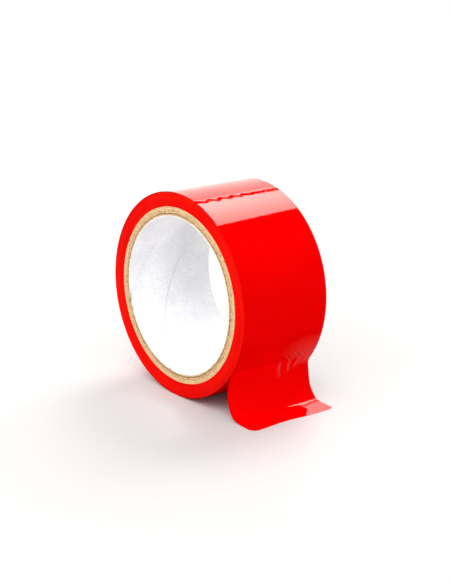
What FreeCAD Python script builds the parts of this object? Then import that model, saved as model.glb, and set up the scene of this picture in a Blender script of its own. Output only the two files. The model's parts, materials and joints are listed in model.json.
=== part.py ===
"""A roll of duct tape standing on its rim, with a short loose tail.

A spiral-wound paper core (white liner, kraft plies, kraft cover) carries a wound strip of
tape.  The last turn and the tail are the same strip: a plastic film with a layer of
adhesive on its inner side.  The tail is divided where the film flexes, so it can bend.

Frame: millimetres, origin at the middle of the roll on its axis, axis along Y, +Z up.
The tail leaves the roll on the +X side.  Angles round the roll are measured from +X
towards +Z, in degrees.
"""

import FreeCAD, Part
import Sketcher
import math
import os

Vector = FreeCAD.Vector
Y_AXIS = Vector(0, 1, 0)

# Driving dimensions: alias, value, what it is.  Lengths in mm, angles in degrees.
DIMENSIONS = [
    ("tape_width", 50.0, "width of the tape and of the core"),
    ("roll_radius", 49.8, "outside radius of the roll"),
    ("bore_radius", 38.1, "inside radius of the core: a 76.2 mm (3 inch) core"),
    ("liner_thick", 0.30, "white paper liner"),
    ("ply_thick", 0.95, "one kraft ply"),
    ("ply_count", 4, "kraft plies between the liner and the cover"),
    ("cover_thick", 0.25, "thin kraft cover ply, which the tape is wound on"),
    ("glue_line", 0.03, "glue between two plies"),
    ("seam_pitch", 120.0, "how far a ply advances along the core in one turn"),
    ("seam_gap", 0.40, "gap between the butted edges of a ply, along the core"),
    ("seam_overrun", 5.0, "how far the seam cutter runs past each end of the core"),
    ("film_thick", 0.13, "plastic film of the tape"),
    ("glue_thick", 0.05, "adhesive layer of the tape"),
    ("turn_count", 34, "turns of tape under the last one"),
    ("winding_gap", 0.02, "radial gap between the core and the first turn"),
    ("running_gap", 0.05, "radial gap between the winding and the last turn"),
    ("peel_angle", -34.0, "where the tail leaves the roll"),
    ("last_turn_gap", 2.4, "arc left open in the last turn, under the tail"),
    ("flex_gap", 0.30, "gap between two stretches of film, where the tail flexes"),
    ("root_radius", 9.3, "bend radius of the film where it peels off the roll"),
    ("root_bend", 34.0, "how far the tail bends there"),
    ("hang_radius", 32.0, "bend radius of the stretch that hangs down"),
    ("hang_bend", 18.0, "how far the tail bends there"),
    ("flat_length", 7.0, "length of the tail's end that lies flat"),
]

# Where the butt seam of each ply crosses the middle of the core.
LINER_SEAM = 190.6
PLY_SEAMS = [123.0, 35.0, 300.0, 215.0]
COVER_SEAM = 80.0

doc = FreeCAD.newDocument("duct_tape_roll")
sheet = doc.addObject("Spreadsheet::Sheet", "dims")
subparts = []


def fill_sheet():
    """Writes the driving dimensions into the spreadsheet and names their cells."""
    for row, (alias, value, note) in enumerate(DIMENSIONS, start=1):
        sheet.set(f"A{row}", alias)
        sheet.set(f"B{row}", str(value))
        sheet.setAlias(f"B{row}", alias)
        sheet.set(f"C{row}", note)
    doc.recompute()


def dim(alias):
    return float(sheet.get(alias))


def tape_thick():
    return dim("film_thick") + dim("glue_thick")


def origin_plane(body, role):
    return next(o for o in body.Origin.OriginFeatures if o.Role == role)


def placed(angle, centre=Vector()):
    """A placement turned about Y, +X towards +Z, with the sub-part's own origin at centre."""
    return FreeCAD.Placement(centre, FreeCAD.Rotation(Y_AXIS, -angle))


# --- sections and the bodies turned from them --------------------------------------------


def add_section(body, name, left, right, bottom, top):
    """A rectangle on the body's XY plane.  Its four sides' distances are expressions."""
    section = body.newObject("Sketcher::SketchObject", name)
    section.AttachmentSupport = [(origin_plane(body, "XY_Plane"), "")]
    section.MapMode = "FlatFace"
    corners = [Vector(1, -1, 0), Vector(2, -1, 0), Vector(2, 1, 0), Vector(1, 1, 0)]
    for start, end in zip(corners, corners[1:] + corners[:1]):
        section.addGeometry(Part.LineSegment(start, end), False)
    for side in range(4):
        direction = "Horizontal" if side % 2 == 0 else "Vertical"
        section.addConstraint(Sketcher.Constraint("Coincident", side, 2, (side + 1) % 4, 1))
        section.addConstraint(Sketcher.Constraint(direction, side))
    sides = [
        ("DistanceX", 0, 1.0, left),
        ("DistanceX", 2, 2.0, right),
        ("DistanceY", 0, -1.0, bottom),
        ("DistanceY", 2, 1.0, top),
    ]
    for kind, line, drawn, expression in sides:
        index = section.addConstraint(Sketcher.Constraint(kind, -1, 1, line, 1, drawn))
        section.setExpression(f"Constraints[{index}]", expression)
    return section


def add_turned(label, inner, outer, sweep="360"):
    """A layer as wide as the tape, turned about the body's Y axis.

    It starts on the body's +X axis and sweeps towards -Z.  The sizes are expressions.
    """
    body = doc.addObject("PartDesign::Body", label)
    body.Label = label
    half_width = "dims.tape_width / 2"
    section = add_section(
        body, label + "_section", inner, outer, f"-{half_width}", half_width
    )
    turn = body.newObject("PartDesign::Revolution", label + "_turn")
    turn.Profile = section
    turn.ReferenceAxis = (origin_plane(body, "Y_Axis"), [""])
    turn.setExpression("Angle", sweep)
    doc.recompute()
    subparts.append(body)
    return body


# --- the paper core -----------------------------------------------------------------------


def cut_seam(body, inner, outer):
    """Cuts the helical butt seam of a ply that is wound round the core as one long strip."""
    low_end = "-(dims.tape_width / 2 + dims.seam_overrun)"
    section = add_section(
        body,
        body.Label + "_seam_section",
        f"{inner} - dims.liner_thick / 2",
        f"{outer} + dims.liner_thick / 2",
        f"{low_end} - dims.seam_gap / 2",
        f"{low_end} + dims.seam_gap / 2",
    )
    seam = body.newObject("PartDesign::SubtractiveHelix", body.Label + "_seam")
    seam.Profile = section
    seam.ReferenceAxis = (origin_plane(body, "Y_Axis"), [""])
    seam.Mode = "pitch-height-angle"
    seam.setExpression("Pitch", "dims.seam_pitch")
    seam.setExpression("Height", "dims.tape_width + 2 * dims.seam_overrun")
    doc.recompute()


def add_ply(label, inner, thickness, seam_angle):
    """One ply of the core.  seam_angle is where its seam crosses the middle of the core."""
    outer = f"{inner} + {thickness}"
    body = add_turned(label, inner, outer)
    cut_seam(body, inner, outer)
    run_to_middle = dim("tape_width") / 2 + dim("seam_overrun")
    turn_to_middle = 360 * run_to_middle / dim("seam_pitch")
    body.Placement = placed(seam_angle + turn_to_middle)


def add_core():
    add_ply("core_liner", "dims.bore_radius", "dims.liner_thick", LINER_SEAM)
    first = "dims.bore_radius + dims.liner_thick + dims.glue_line"
    step = "(dims.ply_thick + dims.glue_line)"
    for number, seam_angle in enumerate(PLY_SEAMS[: int(dim("ply_count"))]):
        inner = f"{first} + {number} * {step}"
        add_ply(f"core_ply_{number + 1}", inner, "dims.ply_thick", seam_angle)
    add_ply("core_cover", f"{first} + dims.ply_count * {step}", "dims.cover_thick", COVER_SEAM)


def core_radius():
    """Outside radius of the finished core."""
    inside = dim("bore_radius") + dim("liner_thick") + dim("glue_line")
    plies = dim("ply_count") * (dim("ply_thick") + dim("glue_line"))
    return inside + plies + dim("cover_thick")


# --- the winding --------------------------------------------------------------------------


def add_winding():
    """All the turns under the last one, as the single spiral strip that they are."""
    body = doc.addObject("PartDesign::Body", "tape_winding")
    body.Label = "tape_winding"
    tape = "(dims.film_thick + dims.glue_thick)"
    inner = f"{core_radius()} + dims.winding_gap"
    outer = f"(dims.roll_radius - {tape} - dims.running_gap)"
    half_width = "dims.tape_width / 2"
    section = add_section(
        body, "tape_winding_section", inner, f"{inner} + {tape}", f"-{half_width}", half_width
    )
    wound = body.newObject("PartDesign::AdditiveHelix", "tape_winding_spiral")
    wound.Profile = section
    wound.ReferenceAxis = (origin_plane(body, "Y_Axis"), [""])
    wound.Mode = "height-turns-growth"
    wound.Height = 0
    wound.setExpression("Turns", "dims.turn_count")
    wound.setExpression("Growth", f"({outer} - {tape} - ({inner})) / dims.turn_count")
    body.Placement = placed(dim("peel_angle"))
    doc.recompute()
    subparts.append(body)


# --- the last turn and the tail -----------------------------------------------------------


def add_last_turn():
    """The film and adhesive of the last turn, open under the tail."""
    peel_gap, radius = dim("flex_gap") / 2, dim("roll_radius")
    start = dim("peel_angle") - math.degrees(dim("last_turn_gap") / radius)
    open_arc = "(dims.last_turn_gap + dims.flex_gap / 2)"
    sweep = f"360 - {open_arc} / dims.roll_radius * 180 / pi"
    middle = "dims.roll_radius - dims.film_thick"
    film = add_turned("last_turn_film", middle, "dims.roll_radius", sweep)
    adhesive = add_turned("last_turn_adhesive", f"{middle} - dims.glue_thick", middle, sweep)
    film.Placement = placed(start)
    adhesive.Placement = placed(start)


def outward(heading):
    """Unit vector out of the tail's outer face.  Heading 0 points down, 90 along +X."""
    angle = math.radians(heading)
    return Vector(math.cos(angle), 0, math.sin(angle))


def tail_arcs():
    """The tail's arcs: name, bend radius, start heading, end heading, centre of the bend.

    The root and hanging arcs are given.  The rest lands the tail flat on the floor, and is
    halved so that it can flex in the middle.
    """
    heading, arcs = dim("peel_angle"), []
    point = outward(heading) * dim("roll_radius")
    for name in ("root", "hang"):
        radius = dim(name + "_radius")
        centre = point + outward(heading) * radius
        arcs.append((name, radius, heading, heading + dim(name + "_bend"), centre))
        heading += dim(name + "_bend")
        point = centre - outward(heading) * radius
    drop = point.z - (tape_thick() - dim("roll_radius"))
    radius = drop / (1 - math.sin(math.radians(heading)))
    centre = point + outward(heading) * radius
    halfway = (heading + 90) / 2
    arcs.append(("curl", radius, heading, halfway, centre))
    arcs.append(("end", radius, halfway, 90.0, centre))
    return arcs


def add_tail_layer(name, layer, arc, top, bottom):
    """One layer of one stretch of the tail, between two depths below its outer face."""
    _, radius, start_heading, end_heading, centre = arc
    gaps = "dims.flex_gap / 2" if name == "end" else "dims.flex_gap"
    sweep = f"{end_heading - start_heading} - {gaps} / {radius} * 180 / pi"
    inner, outer = f"{radius} + {top}", f"{radius} + {bottom}"
    body = add_turned(f"tail_{name}_{layer}", inner, outer, sweep)
    end_gap = 0.0 if name == "end" else math.degrees(dim("flex_gap") / 2 / radius)
    body.Placement = placed(180 + end_heading - end_gap, centre)
    if name == "end":
        flat = body.newObject("PartDesign::Pad", body.Label + "_flat")
        flat.Profile = body.Group[0]
        flat.setExpression("Length", "dims.flat_length")
        doc.recompute()


def add_tail():
    for arc in tail_arcs():
        bottom = "dims.film_thick + dims.glue_thick"
        add_tail_layer(arc[0], "film", arc, "0", "dims.film_thick")
        add_tail_layer(arc[0], "adhesive", arc, "dims.film_thick", bottom)


# --- checks and export --------------------------------------------------------------------


def check_and_export():
    doc.recompute()
    for thing in doc.Objects:
        if "Invalid" in thing.State or "Error" in thing.State:
            raise RuntimeError(f"{thing.Label} failed: {thing.State}")
    os.makedirs("parts", exist_ok=True)
    for part in subparts:
        shape = part.Shape
        if shape.isNull() or not shape.isValid() or len(shape.Solids) != 1:
            raise RuntimeError(f"{part.Label} is not one valid solid")
        shape.exportStep(os.path.join("parts", part.Label + ".step"))
        print(f"{part.Label:22s} {shape.Volume:10.2f} mm3")


fill_sheet()
add_core()
add_winding()
add_last_turn()
add_tail()
check_and_export()
for name, radius, heading, _, centre in tail_arcs():
    flex = centre - outward(heading) * (radius + tape_thick() / 2)
    print(f"tail_{name} flexes at x {flex.x:.3f}, z {flex.z:.3f}; bend radius {radius:.3f}")
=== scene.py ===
"""Looks of a roll of tape with a loose tail: pieces, materials, light and camera.

Lengths are in metres unless a name says mm.  Angles run round the roll's axis (+Y) from +X
towards +Z, and y runs from the near side of the roll (-) to the far side (+).
"""

from collections import namedtuple
import bmesh
import bpy
import json
import math
import numpy as np
from mathutils import Matrix, Vector


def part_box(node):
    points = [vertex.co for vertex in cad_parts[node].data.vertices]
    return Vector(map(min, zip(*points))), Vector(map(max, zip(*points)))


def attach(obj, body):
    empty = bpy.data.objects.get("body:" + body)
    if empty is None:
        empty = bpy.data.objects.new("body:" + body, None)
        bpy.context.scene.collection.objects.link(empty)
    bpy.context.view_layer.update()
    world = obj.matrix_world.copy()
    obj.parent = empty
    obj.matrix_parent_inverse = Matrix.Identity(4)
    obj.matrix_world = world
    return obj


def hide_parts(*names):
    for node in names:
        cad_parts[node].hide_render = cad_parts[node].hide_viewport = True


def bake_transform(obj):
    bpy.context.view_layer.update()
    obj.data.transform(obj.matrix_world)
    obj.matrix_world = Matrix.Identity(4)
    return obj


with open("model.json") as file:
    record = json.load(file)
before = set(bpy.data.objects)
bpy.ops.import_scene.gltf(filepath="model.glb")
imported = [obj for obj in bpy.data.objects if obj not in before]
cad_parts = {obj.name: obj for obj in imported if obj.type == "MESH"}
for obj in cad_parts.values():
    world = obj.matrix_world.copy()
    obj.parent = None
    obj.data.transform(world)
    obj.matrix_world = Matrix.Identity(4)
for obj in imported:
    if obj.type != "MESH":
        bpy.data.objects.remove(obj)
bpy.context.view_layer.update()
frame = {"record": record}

MM = 0.001
MICRON = 0.000001
TAU = 2 * math.pi
MOUNTS = {m["name"]: m for m in frame["record"]["mounts"]}
JOINTS = {j["name"]: j for j in frame["record"]["behaviour"]["joints"]}


def outer_radius(node):
    """Outside radius of a ring-shaped CAD node."""
    return float(max(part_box(node)[1][0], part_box(node)[1][2]))


# Sizes from the frame.
HALF = float(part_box("tape_winding")[1][1])
R = outer_radius("last_turn_film")
BORE = MOUNTS["core_bore"]["dims"]["r_mm"] * MM
LINER = outer_radius("core_liner")
CORE = outer_radius("core_cover")
WINDING = outer_radius("tape_winding")
PEEL = JOINTS["tail_peel"]["pos_m"]
PEEL_ANGLE = math.atan2(PEEL[2], PEEL[0])
FLOOR = -R

# Thickness of the film, and of the film with its adhesive.
FILM = 0.13 * MM
TAPE = 0.18 * MM


# --- smooth shapes and seeded noise --------------------------------------------------------


def waves(seed, count, around, along):
    """A smooth bumpy function of (angle, y), made of cosines, with a spread of about 1.

    around is the range of whole waves per turn, along the range of waves per metre of width.
    """
    rng = np.random.default_rng(seed)
    turns = rng.integers(around[0], around[1] + 1, count)
    lengths = rng.uniform(along[0], along[1], count) * TAU * rng.choice([-1, 1], count)
    phases = rng.uniform(0, TAU, count)
    size = 1 / math.sqrt(count / 2)

    def at(angle, y):
        total = 0
        for turn, length, phase in zip(turns, lengths, phases):
            total = total + np.cos(turn * angle + length * y + phase)
        return total * size

    return at


def hill(x, centre, width):
    """A smooth hill of height 1."""
    return np.exp(-(((x - centre) / width) ** 2))


def step(x, low, high):
    """0 below low, 1 above high, smooth between."""
    t = np.clip((x - low) / (high - low), 0, 1)
    return t * t * (3 - 2 * t)


def wrapped(angle):
    """An angle brought to -pi..pi."""
    return (angle + math.pi) % TAU - math.pi


# --- meshes --------------------------------------------------------------------------------


def on_roll(radius, angle, y):
    """Points at a radius, an angle round the roll, and a place across its width.

    y may have fewer rows or columns than angle, and is repeated to fill them.
    """
    return np.stack([radius * np.cos(angle), y + 0 * angle, radius * np.sin(angle)], axis=-1)


def solid(name, points, faces, sharp, normals=None):
    """A mesh object from points and faces, with its normals turned outwards.

    Edges that turn by more than sharp degrees are creased.
    """
    mesh = bpy.data.meshes.new(name)
    mesh.from_pydata(points.reshape(-1, 3).tolist(), [], faces)
    work = bmesh.new()
    work.from_mesh(mesh)
    bmesh.ops.recalc_face_normals(work, faces=work.faces)
    work.to_mesh(mesh)
    work.free()
    mesh.shade_smooth()
    mesh.set_sharp_from_angle(angle=math.radians(sharp))
    if normals is not None:
        mesh.normals_split_custom_set_from_vertices(normals.reshape(-1, 3).tolist())
    thing = bpy.data.objects.new(name, mesh)
    bpy.context.scene.collection.objects.link(thing)
    return thing


def loop_solid(name, loops, closed, normals=None, sharp=35):
    """A closed mesh through a row of closed profile loops: loops[i, j] is a point.

    An open row is capped by joining each point of the end loops to its opposite number.
    """
    rows, columns = loops.shape[:2]
    index = np.arange(rows * columns).reshape(rows, columns)
    here = index if closed else index[:-1]
    there = np.roll(index, -1, axis=0) if closed else index[1:]
    corners = [here, np.roll(here, -1, axis=1), np.roll(there, -1, axis=1), there]
    quads = np.stack(corners, axis=-1).reshape(-1, 4)
    if not closed:
        for row in (index[0], index[-1]):
            top, bottom = row[: columns // 2], row[columns // 2 :][::-1]
            cap = np.stack([top[:-1], top[1:], bottom[1:], bottom[:-1]], axis=-1)
            quads = np.concatenate([quads, cap])
    return solid(name, loops, quads.tolist(), sharp, normals)


def finish_piece(piece, material, slot, body, *nodes):
    """Gives a piece its material and hides the CAD nodes it stands for.

    The piece rides on a body, or on none where it stands across a joint.
    """
    piece.data.materials.append(material)
    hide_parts(*nodes)
    if body:
        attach(piece, body)


def store(piece, name, amount):
    """Stores a value from 0 to 1 at each point, for the material to read."""
    layer = piece.data.attributes.new(name, "FLOAT", "POINT")
    layer.data.foreach_set("value", np.ascontiguousarray(amount, dtype=np.float32).ravel())


# --- node materials ------------------------------------------------------------------------


def grey(value):
    return (value, value, value, 1.0)


def srgb(red, green, blue):
    """A linear colour from 0 to 255 display values."""
    linear = []
    for value in (red, green, blue):
        v = value / 255
        linear.append(v / 12.92 if v <= 0.04045 else ((v + 0.055) / 1.055) ** 2.4)
    return (*linear, 1.0)


class Nodes:
    """A small helper for building a node tree: each call adds a node and returns an output."""

    def __init__(self, name):
        self.material = bpy.data.materials.new(name)
        self.material.use_nodes = True
        self.tree = self.material.node_tree
        self.shader = self.tree.nodes["Principled BSDF"]

    def add(self, kind, settings=(), output=0, **inputs):
        """Inputs are given by name, with underscores for spaces, or by index as i0, i1."""
        node = self.tree.nodes.new("ShaderNode" + kind)
        for key, value in dict(settings).items():
            setattr(node, key, value)
        for key, value in inputs.items():
            numbered = key[0] == "i" and key[1:].isdigit()
            self.feed(node.inputs[int(key[1:]) if numbered else key.replace("_", " ")], value)
        return node.outputs[output]

    def feed(self, socket, value):
        if isinstance(value, bpy.types.NodeSocket):
            self.tree.links.new(value, socket)
        else:
            socket.default_value = value

    def set(self, **inputs):
        """Sets inputs of the material's shader."""
        for key, value in inputs.items():
            self.feed(self.shader.inputs[key.replace("_", " ")], value)

    def surface(self, shader):
        self.feed(self.tree.nodes["Material Output"].inputs["Surface"], shader)

    def math(self, operation, *values, clamp=False):
        inputs = {f"i{n}": value for n, value in enumerate(values)}
        return self.add("Math", {"operation": operation, "use_clamp": clamp}, **inputs)

    def mix(self, factor, first, second):
        return self.add("Mix", {"data_type": "RGBA"}, output=2, i0=factor, i6=first, i7=second)

    def between(self, value, low, high, start=0.0, end=1.0):
        """Start below low, end above high, and a straight run between."""
        return self.add("MapRange", i0=value, i1=low, i2=high, i3=start, i4=end)

    def stripe(self, value, centre, half_width):
        """1 where a value is at centre, falling to 0 at half_width on either side."""
        distance = self.math("ABSOLUTE", self.math("SUBTRACT", value, centre))
        return self.math("MULTIPLY_ADD", distance, -1 / half_width, 1.0, clamp=True)

    def noise(self, vector, scale, detail=3.0, roughness=0.5):
        return self.add(
            "TexNoise", Vector=vector, Scale=scale, Detail=detail, Roughness=roughness
        )

    def position(self):
        """Object coordinates."""
        return self.add("TexCoord", output=3)

    def position_mm(self):
        return self.add("VectorMath", {"operation": "SCALE"}, i0=self.position(), i3=1 / MM)

    def distance(self, place):
        """Distance from a place in object coordinates."""
        settings = {"operation": "DISTANCE"}
        return self.add("VectorMath", settings, output=1, i0=self.position(), i1=place)

    def xyz(self):
        """Object coordinates as three outputs."""
        parts = self.tree.nodes.new("ShaderNodeSeparateXYZ")
        self.feed(parts.inputs[0], self.position())
        return parts.outputs

    def radius_mm(self):
        """Distance from the roll's axis."""
        x, _, z = self.xyz()
        squares = self.math("MULTIPLY_ADD", x, x, self.math("MULTIPLY", z, z))
        return self.math("MULTIPLY", self.math("SQRT", squares), 1 / MM)

    def ring_mm(self, arc=1.0, out=0.0, across=0.0):
        """Millimetres round the roll, and out from its axis or across it, each scaled."""
        x, y, z = self.xyz()
        radius = self.radius_mm()
        rim = arc * R / MM
        side = self.math("DIVIDE", self.math("MULTIPLY", x, rim / MM), radius)
        rise = self.math("DIVIDE", self.math("MULTIPLY", z, rim / MM), radius)
        outwards = self.math("MULTIPLY", radius, out)
        third = self.math("MULTIPLY_ADD", y, across / MM, outwards)
        return self.add("CombineXYZ", X=side, Y=third, Z=rise)

    def stored(self, name):
        """A value stored on the piece's points."""
        return self.add("Attribute", {"attribute_name": name}, output=2)

    def relief(self, height, depth_mm, under=None):
        """A normal from a height texture, laid over another normal if one is given."""
        inputs = {"Normal": under} if under else {}
        return self.add("Bump", Strength=1.0, Distance=depth_mm * MM, Height=height, **inputs)


def film_material():
    """Glossy red film: painted brighter off the roll as painted light on the tail, with faint haze
    and lengthwise draw lines.
    """
    n = Nodes("film")
    cloud = n.noise(n.position_mm(), 0.06, detail=2.0)
    on_roll_tone = n.mix(n.between(cloud, 0.35, 0.7), srgb(232, 0, 0), srgb(226, 0, 0))
    # Painted light: the film off the roll is painted brighter, standing in for more light falling
    # on the tail.
    tone = n.mix(n.stored("off_roll_painted_light"), on_roll_tone, srgb(241, 0, 0))
    haze = n.noise(n.position_mm(), 0.35, detail=5.0, roughness=0.65)
    draw_lines = n.noise(n.ring_mm(arc=0.01, across=1.0), 2.2, detail=4.0, roughness=0.6)
    rough = n.math("MULTIPLY_ADD", draw_lines, 0.02, n.between(haze, 0.45, 0.8, 0.04, 0.09))
    dimples = n.relief(n.noise(n.position_mm(), 0.8, detail=2.0), 0.003)
    relief = n.relief(draw_lines, 0.0012, under=dimples)
    n.set(Base_Color=tone, Roughness=rough, IOR=1.5, Normal=relief)
    return n.material


def adhesive_material():
    """The sticky side: a little darker, softly glossy and pebbled."""
    n = Nodes("adhesive")
    pebble = n.noise(n.position_mm(), 1.6, detail=4.0, roughness=0.6)
    tone = n.mix(n.between(pebble, 0.3, 0.75), srgb(214, 14, 8), srgb(240, 40, 22))
    rough = n.math("MULTIPLY_ADD", pebble, 0.25, 0.22)
    n.set(Base_Color=tone, Roughness=rough, IOR=1.48, Normal=n.relief(pebble, 0.03))
    return n.material


def winding_material():
    """The stacked cut edges of the turns: fine rings, each a little different."""
    n = Nodes("wound_tape")
    rings = n.noise(n.ring_mm(arc=0.004, out=1.0), 1.5, detail=4.0, roughness=0.75)
    bands = n.noise(n.ring_mm(arc=0.03, out=0.4), 1.0, detail=2.0)
    tone = n.mix(n.between(rings, 0.34, 0.62), srgb(206, 0, 0), srgb(244, 8, 0))
    tone = n.mix(n.between(bands, 0.4, 0.75, 0.0, 0.6), tone, srgb(246, 24, 0))
    rough = n.math("MULTIPLY_ADD", rings, 0.2, 0.36)
    scuff = n.noise(n.ring_mm(arc=0.5, out=3.0), 1.1, detail=4.0, roughness=0.65)
    n.set(Base_Color=tone, Roughness=rough, IOR=1.45, Normal=n.relief(scuff, 0.03))
    n.set(Specular_IOR_Level=0.05)
    return n.material


# A kind of board: three colours, the radii where glue shows and how strongly, and the radius
# at which the board turns paler.
Board = namedtuple("Board", "name light dark fleck glue_lines pale_from")


def board_material(board):
    """Kraft board: fibres round the core, dark flecks, glue between plies, paler outside."""
    n = Nodes(board.name)
    fibre = n.noise(n.ring_mm(arc=0.5, out=2.2), 1.3, detail=5.0, roughness=0.72)
    mottle = n.noise(n.position_mm(), 0.45, roughness=0.6)
    tone = n.mix(n.between(fibre, 0.38, 0.60), board.dark, board.light)
    tone = n.mix(n.between(mottle, 0.45, 0.7, 0.0, 0.4), tone, board.dark)
    pale = board.pale_from / MM
    tone = n.mix(n.between(n.radius_mm(), pale - 0.2, pale + 0.1, 0.0, 0.55), tone, board.light)
    speck = n.noise(n.position_mm(), 1.7, detail=2.0)
    tone = n.mix(n.between(speck, 0.57, 0.67, 0.0, 0.75), tone, board.fleck)
    patches = n.noise(n.ring_mm(arc=0.4, out=1.0), 0.9, roughness=0.7)
    broken = n.between(patches, 0.25, 0.45)
    for radius, strength in board.glue_lines:
        line = n.stripe(n.radius_mm(), radius / MM, 0.4)
        line = n.math("MULTIPLY", n.math("MULTIPLY", line, broken), strength)
        tone = n.mix(line, tone, board.fleck)
    n.set(Base_Color=tone, Roughness=0.88, IOR=1.45, Normal=n.relief(fibre, 0.16))
    n.set(Specular_IOR_Level=0.2)
    return n.material


def liner_material():
    """White paper: soft grey clouds, fine fibres, and dirt and painted shade where the piece stores
    them.
    """
    n = Nodes("liner_paper")
    cloud = n.noise(n.position_mm(), 0.09, detail=2.0)
    fibre = n.noise(n.position_mm(), 1.1, detail=4.0, roughness=0.65)
    tone = n.mix(n.between(cloud, 0.36, 0.66), srgb(240, 240, 242), srgb(250, 250, 251))
    tone = n.mix(n.between(fibre, 0.45, 0.72, 0.0, 0.6), tone, srgb(206, 210, 216))
    # Darker where the piece stores dirt, and where it stores painted shade deep in the bore.
    tone = n.mix(n.stored("stain_and_shade"), tone, srgb(92, 88, 84))
    n.set(Base_Color=tone, Roughness=0.8, IOR=1.45, Normal=n.relief(fibre, 0.14))
    n.set(Specular_IOR_Level=0.25)
    return n.material


# --- the paper core ------------------------------------------------------------------------

# Every paper strip is wound on a helix of this pitch, and these are its seams' angles at y = 0.
SEAM_PITCH = 120 * MM
LINER_SEAM = math.radians(190.6)
PLY_SEAMS = {
    "core_ply_1": math.radians(123.0),
    "core_ply_2": math.radians(35.0),
    "core_ply_3": math.radians(300.0),
    "core_ply_4": math.radians(215.0),
    "core_cover": math.radians(80.0),
}
PRINT_SEAM = PLY_SEAMS["core_ply_1"]
# Where the liner's near rim is torn: angle and width in degrees, and depth in mm.
Nick = namedtuple("Nick", "angle width depth")
NICKS = [
    Nick(195, 8, 0.7),
    Nick(204, 3, 0.9),
    Nick(258, 3, 0.7),
    Nick(263, 4, 0.9),
    Nick(270, 2, 0.6),
]


def helix_turn(y):
    """How far round a seam has run at a place across the width."""
    return TAU * y / SEAM_PITCH


def liner_columns():
    """Angles at y = 0 of the liner's mesh columns, close together at the seams."""
    even = np.arange(0, TAU, math.radians(0.75))
    marks = []
    for centre, reach, fine in ((LINER_SEAM, 2.4, 0.12), (PRINT_SEAM, 3.0, 0.3)):
        even = even[np.abs(wrapped(even - centre)) > math.radians(reach)]
        marks.append(centre + np.radians(np.arange(-reach, reach + fine / 2, fine)))
    return np.sort(np.concatenate([even, *marks]))


def liner_rows():
    """Places across the liner, a little closer together at its rims."""
    share = np.linspace(-1, 1, 73)
    return HALF * (0.7 * share + 0.3 * np.sin(share * math.pi / 2))


def liner_relief(angle, across, from_seam, from_print):
    """Depth of the liner's face into the wall: the seam, the ply's print and slow waves."""
    uneven = 0.03 * MM * (1 + waves(11, 14, (2, 9), (8, 40))(angle, across))
    groove = 0.14 * MM * hill(from_seam, 0, 0.22 * MM)
    lip = 0.03 * MM * step(from_seam, -2.5 * MM, -0.3 * MM) * (from_seam < 0)
    dent = 0.07 * MM * hill(from_print, 0, 0.9 * MM)
    return uneven + groove - lip + dent


def liner_dirt_and_shade(angle, across, from_seam, from_print):
    """Dirt in the seam and in the print, and painted shade on a wide patch deep in the far half."""
    in_seam = 0.12 + 0.20 * step(-across, -8 * MM, -2 * MM)
    darkening = in_seam * hill(from_seam, 0.1 * MM, 0.42 * MM)
    darkening = darkening + 0.10 * hill(from_print, 0, 0.6 * MM)
    # Painted shade: a broad grey patch deep in the bore, where little light reaches.
    from_shaded_patch = wrapped(angle - math.radians(165))
    return darkening + 0.19 * hill(from_shaded_patch, 0, 0.9) * hill(across, 9 * MM, 14 * MM)


def liner_nicks(angle, across):
    """Depth and dirt of the torn places in the near rim."""
    fray = waves(12, 20, (60, 300), (0, 300))
    depth, darkening = 0, 0
    for nick in NICKS:
        along_rim = np.degrees(wrapped(angle - math.radians(nick.angle)))
        torn = hill(along_rim, 0, nick.width / 2) * (0.8 + 0.3 * fray(angle, across))
        at_rim = step(-across, HALF - nick.depth * MM, HALF - 0.3 * nick.depth * MM)
        depth = depth + 0.25 * MM * np.clip(torn, 0, 1) * at_rim
        darkening = darkening + np.clip(1.3 * torn - 0.2, 0, 1) * at_rim
    return depth, darkening


def add_liner():
    """White liner with its helical butt seam, a print of the ply behind it and nicked rims."""
    start = liner_columns()[:, None]
    across = liner_rows()[None, :]
    angle = start - helix_turn(across)
    from_seam = wrapped(start - LINER_SEAM) * BORE
    from_print = wrapped(start - PRINT_SEAM) * BORE
    torn_depth, torn_dirt = liner_nicks(angle, across)
    depth = liner_relief(angle, across, from_seam, from_print) + torn_depth
    # Dirt, plus a patch of painted shade deep in the bore.
    darkening = liner_dirt_and_shade(angle, across, from_seam, from_print) + torn_dirt
    inner_wall = on_roll(np.minimum(BORE + depth, LINER - 0.02 * MM), angle, across)
    back = across[:, ::-2]
    outer_wall = on_roll(LINER, start - helix_turn(back), back)
    piece = loop_solid("core_liner_paper", np.concatenate([inner_wall, outer_wall], axis=1), True)
    clean = np.zeros(outer_wall.shape[:2])
    store(piece, "stain_and_shade", np.concatenate([np.clip(darkening, 0, 0.9), clean], axis=1))
    finish_piece(piece, liner_material(), "liner_paper", "roll", "core_liner")


def add_ply(node, inner, outer, material, slot, seed, relief):
    """One ply: a ring whose cut ends are a little fuzzy and hollowed at its seam."""
    angle = np.linspace(0, TAU, 720, endpoint=False)[:, None]
    share = np.array([0.0, 0.04, 0.2, 0.4, 0.6, 0.8, 0.96, 1.0])[None, :]
    across_ring = inner + (outer - inner) * share
    fuzz = waves(seed, 30, (40, 260), (200, 1400))
    slow = waves(seed + 50, 8, (2, 14), (0, 100))
    rounding = relief * 0.35 * (hill(share, 0, 0.06) + hill(share, 1, 0.06))
    ends = []
    for side in (1, -1):
        seam_angle = PLY_SEAMS[node] - helix_turn(side * HALF)
        seam = 0.6 * MM * hill(wrapped(angle - seam_angle) * outer, 0, 0.45 * MM)
        rough = 0.35 * fuzz(angle + side, across_ring) + 0.3 * slow(angle, share * MM)
        depth = np.maximum(relief * (0.5 + rough), 0) + rounding + seam
        ends.append(on_roll(across_ring, angle, side * (HALF - depth)))
    loops = np.concatenate([ends[0], ends[1][:, ::-1]], axis=1)
    piece = loop_solid(node + "_board", loops, True, sharp=50)
    finish_piece(piece, material, slot, "roll", node)


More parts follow.
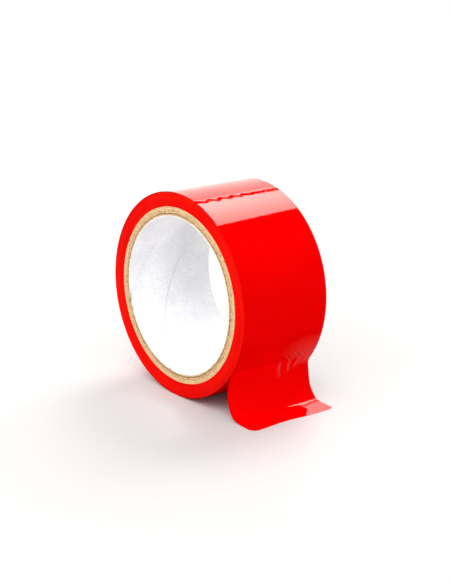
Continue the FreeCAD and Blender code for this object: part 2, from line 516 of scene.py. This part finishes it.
def add_core():
    """The liner, four kraft plies and the thin cover ply outside them."""
    add_liner()
    edges = [outer_radius(node) for node in PLY_SEAMS]
    glue_lines = list(zip(edges, (1.0, 0.3, 0.15, 0.5)))
    kraft = board_material(Board(
        "kraft",
        light=srgb(242, 208, 158),
        dark=srgb(186, 150, 107),
        fleck=srgb(88, 60, 38),
        glue_lines=glue_lines,
        pale_from=edges[2],
    ))
    cover = board_material(Board(
        "kraft_cover",
        light=srgb(240, 206, 158),
        dark=srgb(206, 168, 124),
        fleck=srgb(120, 90, 60),
        glue_lines=[],
        pale_from=edges[3],
    ))
    inner = LINER
    for number, (node, outer) in enumerate(zip(PLY_SEAMS, edges)):
        if node == "core_cover":
            add_ply(node, inner, outer, cover, "kraft_cover", 90, 0.03 * MM)
        else:
            add_ply(node, inner, outer, kraft, "kraft", 30 + number, 0.18 * MM)
        inner = outer


# --- the wound tape ------------------------------------------------------------------------

TURNS = 34
POINTS_PER_TURN = 288
# Profile of one turn's cut edge: how far out from its inner face, and how far inside the side.
TURN_EDGE = [
    (0.0, 0.14 * MM),
    (0.05 * MM, 0.14 * MM),
    (0.07 * MM, 0.06 * MM),
    (TAPE, 0.06 * MM),
]


def turn_lean(turn, angle):
    """How far a place along the tape has strayed towards one side as it was wound."""
    stray = 12 * MICRON
    shift = np.cumsum(np.random.default_rng(7).normal(0, stray, TURNS + 1))
    shift = shift - np.linspace(shift[0], shift[-1], TURNS + 1)
    wander = waves(21, 10, (1, 5), (0, 0))
    return np.interp(turn, np.arange(TURNS + 1), shift) + stray * wander(angle * 1.37, 0)


def strip_faces(low, high):
    """Quads between two runs of points."""
    return np.stack([low[:-1], high[:-1], high[1:], low[1:]], axis=-1).reshape(-1, 4).tolist()


def add_winding():
    """The turns under the last one: one spiral, whose cut edges ridge both of its sides."""
    innermost = CORE + 0.02 * MM
    pitch = (WINDING - innermost - TAPE) / TURNS
    turn = np.arange(TURNS * POINTS_PER_TURN + 1) / POINTS_PER_TURN
    angle = PEEL_ANGLE - TAU * turn
    radius = innermost + pitch * turn
    lean = turn_lean(turn, angle)
    sides = []
    for side in (1, -1):
        runs = [
            on_roll(radius + out, angle, side * (HALF - inset) + lean)
            for out, inset in TURN_EDGE
        ]
        sides.append(np.stack(runs, axis=1))
    points = np.stack(sides)
    index = np.arange(points[..., 0].size).reshape(points.shape[:3])
    far, near = index
    lap = POINTS_PER_TURN
    faces = []
    for side in (near, far):
        for column in range(len(TURN_EDGE) - 1):
            faces += strip_faces(side[:, column], side[:, column + 1])
        faces += strip_faces(side[:-lap, -1], side[lap:, 0])
    # The innermost and outermost faces, and the caps that close the two ends of the spiral.
    faces += strip_faces(near[: lap + 1, 0], far[: lap + 1, 0])
    faces += strip_faces(near[-lap - 1 :, -1], far[-lap - 1 :, -1])
    faces.append([*near[0], near[lap, 0], far[lap, 0], *far[0][::-1]])
    faces.append([near[-lap - 1, -1], *near[-1], *far[-1][::-1], far[-lap - 1, -1]])
    piece = solid("wound_turns", points, faces, sharp=50)
    finish_piece(piece, winding_material(), "wound_tape", "roll", "tape_winding")


# --- the last turn and the tail ------------------------------------------------------------

# A fold standing out of the film where it was pulled off: its place across at the peel line
# and how far it leans per mm, its width and height, and where it starts and ends along the
# tail, all in mm.
Fold = namedtuple("Fold", "place lean width height start end")


class Strip:
    """The outer face of the last turn and the tail, as one surface.

    s is the distance along the strip in metres from the joint's peel line, and v runs from
    -1 at the near edge to 1 at the far edge.  The film leaves the roll on a skewed line, so
    the tail starts a little before the peel line at the near edge and after it at the far one.
    """

    reach = 45 * MM
    samples = 1800
    ribs = 81
    # (distance along the tail in mm, heading in degrees: 0 points down and 90 along +X)
    near = [
        (3, -25), (7, -14), (11, -3), (15, 12), (19.2, 27), (22.8, 49), (23.6, 74),
        (25.6, 77), (30, 89), (45, 91),
    ]
    far = [
        (1.5, -30), (3.5, -6), (6, 10), (10, 9), (14, 14), (18.5, 34), (24.1, 52), (24.9, 74),
        (26.7, 77), (30, 87), (45, 90),
    ]
    folds = [
        Fold(2.3, 0.16, 2.00, 0.72, 0.2, 11.0),
        Fold(9.4, 0.05, 1.60, 0.57, -0.8, 8.0),
        Fold(15.6, -0.30, 1.30, 0.46, -1.2, 6.0),
        Fold(21.5, -0.50, 1.00, 0.20, -1.5, 3.0),
    ]
    # The share of the run at which the tail has come down to the floor.
    landing = 0.75

    def __init__(self):
        self.v = np.linspace(-1.1, 1.1, self.ribs)
        self.t = np.linspace(0, self.reach, self.samples)
        tables = [self.rib(v, start) for v, start in zip(self.v, self.peel_angles(self.v))]
        self.x, self.z, self.heading = (np.array(table) for table in zip(*tables))
        self.ripple = waves(3, 26, (0, 14), (180, 360))
        self.slack = waves(17, 14, (0, 22), (100, 160))
        self.pucker = waves(29, 24, (50, 130), (120, 320))

    def peel_angles(self, v):
        """The angle round the roll at which the film lifts off."""
        return np.radians(-31.4 - 2.6 * v - 1.5 * v * v)

    def rib(self, v, start):
        """The run of the tail at one place across it: x, z and heading at each sample."""
        share = (v + 1) / 2
        curves = []
        for points in (self.near, self.far):
            places = [0] + [p for p, _ in points]
            headings = [math.degrees(start)] + [h for _, h in points]
            curves.append(np.interp(self.t / MM, places, headings))
        heading = curves[0] * (1 - share) + curves[1] * share
        window = np.hanning(61)
        padded = np.pad(heading, len(window) // 2, mode="edge")
        heading = np.radians(np.convolve(padded, window / window.sum(), mode="valid"))
        interval = self.t[1] - self.t[0]
        x = np.concatenate([[0], np.cumsum(np.sin(heading))[:-1]]) * interval
        z = -np.concatenate([[0], np.cumsum(np.cos(heading))[:-1]]) * interval
        drop = R * math.sin(start) - (FLOOR + TAPE)
        scale = drop / -z[int(self.samples * self.landing)]
        return R * math.cos(start) + x * scale, R * math.sin(start) + z * scale, heading

    def lookup(self, table, s, v):
        """Bilinear interpolation in a table of (rib, sample)."""
        row = np.clip((v - self.v[0]) / (self.v[1] - self.v[0]), 0, self.ribs - 1.001)
        column = np.clip(s / (self.t[1] - self.t[0]), 0, self.samples - 1.001)
        i, j = row.astype(int), column.astype(int)
        a, b = row - i, column - j
        low = table[i, j] * (1 - b) + table[i, j + 1] * b
        high = table[i + 1, j] * (1 - b) + table[i + 1, j + 1] * b
        return low * (1 - a) + high * a

    def lift_off(self, v):
        """Distance along the strip at which it leaves the roll."""
        return R * (PEEL_ANGLE - self.peel_angles(v))

    def relief(self, s, v):
        """Small height of the surface over its smooth run, in metres."""
        free = (s - self.lift_off(v)) / MM
        angle = PEEL_ANGLE - s / R
        y = v * HALF
        # Slack ripples are strongest on the near half and on top of the roll, the film is
        # puckered beside the peel line, and both of its edges curl outwards.
        near_half = 1 - 0.75 * step(y, 0, 14 * MM)
        on_top = 0.3 + 0.7 * hill(angle, 1.31, 0.16)
        beside_peel = hill(y, 15 * MM, 8 * MM) * hill(free, -2.5, 4.5)
        edge = (HALF - 1.5 * MM, HALF + 0.3 * MM)
        height = 1.8 * MICRON * self.ripple(angle, y)
        height = height + 15 * MICRON * near_half * on_top * self.slack(angle, y)
        height = height + 45 * MICRON * beside_peel * self.pucker(angle, y)
        height = height + 18 * MICRON * step(y, *edge) + 3 * MICRON * step(-y, *edge)
        for fold in self.folds:
            centre = fold.place + fold.lean * np.clip(free, fold.start, fold.end)
            ridge = hill(y / MM, centre, fold.width)
            rise = step(free, fold.start, fold.start + 1.5)
            fade = 1 - step(free, fold.end - 3, fold.end)
            height = height + fold.height * MM * ridge * rise * fade
        return height

    def point(self, s, v):
        """Points of the surface, on the roll up to the lift-off and on the tail after it."""
        free = s - self.lift_off(v)
        angle = PEEL_ANGLE - s / R
        on_tail = free > 0
        x = np.where(on_tail, self.lookup(self.x, free, v), R * np.cos(angle))
        z = np.where(on_tail, self.lookup(self.z, free, v), R * np.sin(angle))
        heading = np.where(on_tail, self.lookup(self.heading, free, v), angle)
        height = self.relief(s, v)
        lifted_corner = 0.2 * MM * step(free, 24 * MM, 34 * MM) * step(v, 0.55, 1.0)
        x = x + np.cos(heading) * height
        z = z + np.sin(heading) * height + lifted_corner
        return np.stack([x, v * HALF, z], axis=-1)

    def normal(self, s, v):
        """Outward normals, from points a small step away along the strip and across it."""
        ds, dv = 0.05 * MM, 0.002
        along = self.point(s + ds, v) - self.point(s - ds, v)
        across = self.point(s, v + dv) - self.point(s, v - dv)
        out = np.cross(along, across)
        return out / np.linalg.norm(out, axis=-1, keepdims=True)

    def end(self, v):
        """Distance along the strip of its cut end: slightly wavy, with rounded corners."""
        cut_x = 57.6 * MM + 0.6 * MM * np.sin(TAU * (v - 0.22) / 1.6)
        for outwards, width, depth in ((-v, 0.16, 4 * MM), (v, 0.05, 1 * MM)):
            rounding = np.clip((outwards - (1 - width)) / width, 0, 1)
            cut_x = cut_x - depth * (1 - np.sqrt(1 - 0.98 * rounding**2))
        result = []
        for place, x_end in zip(v, cut_x):
            row = self.lookup(self.x, self.t, np.full_like(self.t, place))
            bottom = int(np.argmin(row))
            free = np.interp(x_end, row[bottom:], self.t[bottom:])
            result.append(free + self.lift_off(place))
        return np.array(result)


STRIP = Strip()

# The two layers of the tape: how far under the outer face each starts and stops, and how far
# its edges are set in.
Layer = namedtuple("Layer", "kind top bottom material inset")
LAYERS = [
    Layer("film", 0.0, FILM, film_material(), 0.0),
    Layer("adhesive", FILM, TAPE, adhesive_material(), 0.05 * MM),
]

# A stretch of strip: its name, how many rows of mesh it has, where it ends along the strip
# (None is the cut end), the CAD nodes it stands for, and the joint it stands across with its
# reach before and after.
Stretch = namedtuple("Stretch", "name rows end nodes joint before after")
STRETCHES = [
    Stretch("last_turn", 340, -12.0 * MM, ["last_turn"], None, 0, 0),
    Stretch(
        "peel_line", 76, 3.2 * MM, ["last_turn", "tail_root"], "tail_peel", 0.3 * MM, 2.9 * MM
    ),
    Stretch(
        "tail_upper", 30, 10.5 * MM, ["tail_root", "tail_hang"], "tail_flex_upper",
        1.2 * MM, 2.0 * MM,
    ),
    Stretch(
        "tail_lower", 30, 18.6 * MM, ["tail_hang", "tail_curl"], "tail_flex_middle",
        2.2 * MM, 2.2 * MM,
    ),
    Stretch(
        "tail_end", 60, None, ["tail_curl", "tail_end"], "tail_flex_lower", 1.8 * MM, 2.2 * MM
    ),
]
# Where the last turn starts: most of a turn before the peel line.
LAP_ANGLE = math.radians(-41.0) + TAU


def strip_columns(count, inset):
    """Places across the strip, closer together at its edges."""
    even = np.linspace(-1, 1, count)
    return (1 - inset / HALF) * (0.75 * even + 0.25 * np.sin(even * math.pi / 2))


def add_strip_piece(name, stations, columns, layer, body, nodes):
    """One layer of one stretch.  stations[i, j] is the distance along at row i, column j."""
    across = np.broadcast_to(columns[None, :], stations.shape)
    surface, out = STRIP.point(stations, across), STRIP.normal(stations, across)
    faces = [surface - out * layer.top, (surface - out * layer.bottom)[:, ::-1]]
    normals = np.concatenate([out, -out[:, ::-1]], axis=1)
    piece = loop_solid(name, np.concatenate(faces, axis=1), False, normals=normals)
    # Where the film is off the roll: its material paints it brighter there, as painted light.
    off_roll_painted_light = step(stations - STRIP.lift_off(across), 0.3 * MM, 2.0 * MM)
    store(piece, "off_roll_painted_light", np.concatenate([off_roll_painted_light, off_roll_painted_light[:, ::-1]], axis=1))
    finish_piece(piece, layer.material, layer.kind, body, *nodes)
    return piece


def blend_at(piece):
    """Bakes a piece's transform into its mesh; it does not bend the piece."""
    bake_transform(piece)


def add_strip():
    """Last turn and tail in five stretches of film and adhesive, cut where both are rigid."""
    for layer in LAYERS:
        columns = strip_columns(104, layer.inset)
        first = np.full_like(columns, (PEEL_ANGLE - LAP_ANGLE) * R)
        for stretch in STRETCHES:
            if stretch.end is None:
                last = STRIP.end(columns) - layer.inset
            else:
                last = np.full_like(columns, stretch.end)
            share = np.linspace(0, 1, stretch.rows)[:, None]
            stations = first * (1 - share) + last * share
            nodes = [f"{node}_{layer.kind}" for node in stretch.nodes]
            body = None if stretch.joint else "strip"
            name = f"{stretch.name}_{layer.kind}_strip"
            piece = add_strip_piece(name, stations, columns, layer, body, nodes)
            if stretch.joint:
                blend_at(piece)
            first = last


# --- stage ---------------------------------------------------------------------------------


def plane(name, centre, toward, up, width, height, material):
    """A flat sheet whose height runs along up, turned as far as it can be to face toward."""
    rise = Vector(up).normalized()
    side = rise.cross(Vector(toward)).normalized()
    corners = [
        Vector(centre) + side * (a * width / 2) + rise * (b * height / 2)
        for a, b in ((-1, -1), (1, -1), (1, 1), (-1, 1))
    ]
    mesh = bpy.data.meshes.new(name)
    mesh.from_pydata([tuple(c) for c in corners], [], [(0, 1, 2, 3)])
    mesh.materials.append(material)
    sheet = bpy.data.objects.new(name, mesh)
    bpy.context.scene.collection.objects.link(sheet)
    return sheet


def glow(name, strength, centre=None, radius=None, edge_strength=None):
    """A slightly warm glow: even, or changing from a centre to a radius from it.

    Only reflected rays find it, so no light samples are spent on it.
    """
    n = Nodes(name)
    n.material.cycles.emission_sampling = "NONE"
    n.tree.nodes.remove(n.shader)
    if centre:
        strength = n.between(n.distance(centre), 0.0, radius, strength, edge_strength)
    n.surface(n.add("Emission", Color=(1.0, 1.0, 0.92, 1.0), Strength=strength))
    return n.material


def reflector(name, centre, toward, up, size, material):
    """A card seen only in reflections."""
    card = plane(name, centre, toward, up, *size, material)
    card.visible_camera = False
    card.visible_diffuse = False
    card.visible_shadow = False
    card.visible_transmission = False


def add_reflections():
    """Cards round the roll, the dark bar between two of them, and the lit floor behind."""
    up, down, back_to_roll = (0, 0, 1), (0, 0, -1), (0.77, -0.64, 0)
    reflector("back_card", (-1.8, 1.5, 0.64), back_to_roll, up, (2.8, 2.4), glow("back_glow", 1.85))
    overhead = glow("overhead_glow", 8.4, (-0.30, 0.30, 0.60), 0.50, edge_strength=2.7)
    reflector(
        "overhead_card", (-0.251, 0.462, 0.60), down, (-0.37, 0.93, 0), (0.47, 0.9), overhead
    )
    reflector(
        "front_card", (0, -0.75, 0.75), (0, 1, -1), (1, 0, 0), (0.45, 1.8), glow("front_glow", 3.0)
    )
    reflector(
        "dark_bar", (-0.372, 0.473, 0.486), (0.77, 0, -0.62), (0.2, 0.955, -0.22),
        (0.056, 0.6), glow("dark", 0.0),
    )
    patch = (0.038, 0.056, FLOOR - 0.5 * MM)
    lit = glow("floor_glow", 0.45, patch, 33 * MM, edge_strength=0.0)
    reflector("lit_floor", patch, up, (0, 1, 0), (62 * MM, 62 * MM), lit)


def add_floor():
    """A matt floor that fades to the white of the background away from the roll."""
    n = Nodes("pale_floor")
    cloud = n.noise(n.position_mm(), 0.01, detail=2.0)
    # The slight pink tint is painted light, standing in for red light bounced onto the floor from
    # the tape.
    tone = n.mix(cloud, (0.63, 0.605, 0.605, 1), (0.65, 0.625, 0.625, 1))
    n.set(Base_Color=tone, Roughness=0.6)
    white = n.add("Emission", Color=grey(1), Strength=1.0)
    far = n.between(n.distance((0, 0, 0)), 0.8, 2.0)
    n.surface(n.add("MixShader", i0=far, i1=n.shader.outputs[0], i2=white))
    size = 40
    sheet = plane("floor", (0, 0, FLOOR), (0, 0, 1), (0, 1, 0), size, size, n.material)
    sheet.visible_glossy = False


def add_world():
    """Soft light on every surface; white to the camera; black in reflections but for cards."""
    world = bpy.data.worlds.new("studio")
    bpy.context.scene.world = world
    world.use_nodes = True
    nodes, links = world.node_tree.nodes, world.node_tree.links
    path = nodes.new("ShaderNodeLightPath")
    surroundings = nodes["Background"].outputs[0]
    nodes["Background"].inputs["Color"].default_value = grey(1)
    nodes["Background"].inputs["Strength"].default_value = 0.6
    for ray, strength in (("Is Glossy Ray", 0.0), ("Is Camera Ray", 1.0)):
        other = nodes.new("ShaderNodeBackground")
        other.inputs["Color"].default_value = grey(1)
        other.inputs["Strength"].default_value = strength
        choose = nodes.new("ShaderNodeMixShader")
        links.new(path.outputs[ray], choose.inputs[0])
        links.new(surroundings, choose.inputs[1])
        links.new(other.outputs[0], choose.inputs[2])
        surroundings = choose.outputs[0]
    links.new(surroundings, nodes["World Output"].inputs[0])


def add_light(name, place, size, power):
    """A square soft light aimed at the roll, which isn't itself seen in reflections."""
    light = bpy.data.lights.new(name, "AREA")
    light.shape = "SQUARE"
    light.size = size
    light.energy = power
    lamp = bpy.data.objects.new(name, light)
    lamp.location = place
    lamp.rotation_mode = "QUATERNION"
    lamp.rotation_quaternion = (-Vector(place)).to_track_quat("-Z", "Y")
    lamp.visible_glossy = False
    bpy.context.scene.collection.objects.link(lamp)


def add_camera():
    """A long lens, right of the roll's axis and above it, turned a little about its own."""
    azimuth, elevation, tilt = (math.radians(a) for a in (50.04, 17.57, 1.62))
    distance = 15.153 * R
    back = Vector((
        math.sin(azimuth) * math.cos(elevation),
        -math.cos(azimuth) * math.cos(elevation),
        math.sin(elevation),
    ))
    right = Vector((0, 0, 1)).cross(back).normalized()
    up = back.cross(right)
    aim = right * 0.0799 * R - up * 0.0471 * R
    turned_right = right * math.cos(tilt) + up * math.sin(tilt)
    turned_up = up * math.cos(tilt) - right * math.sin(tilt)
    data = bpy.data.cameras.new("photo_view")
    data.lens = 96.4
    data.sensor_width = 36.0
    data.clip_start, data.clip_end = 0.01, 80
    camera = bpy.data.objects.new("photo_view", data)
    bpy.context.scene.collection.objects.link(camera)
    axes = Matrix((turned_right, turned_up, back)).transposed().to_4x4()
    camera.matrix_world = Matrix.Translation(aim + back * distance) @ axes
    bpy.context.scene.camera = camera


add_core()
add_winding()
add_strip()
add_floor()
add_world()
add_reflections()
add_light("fill", (2.0, -2.8, 1.1), size=4.5, power=86)
add_light("front", (0.3, -1.6, 2.6), size=3.0, power=64)
add_light("overhead", (-0.93, 1.8, 2.2), size=1.5, power=55)
add_camera()
bpy.context.scene.view_settings.view_transform = "Standard"
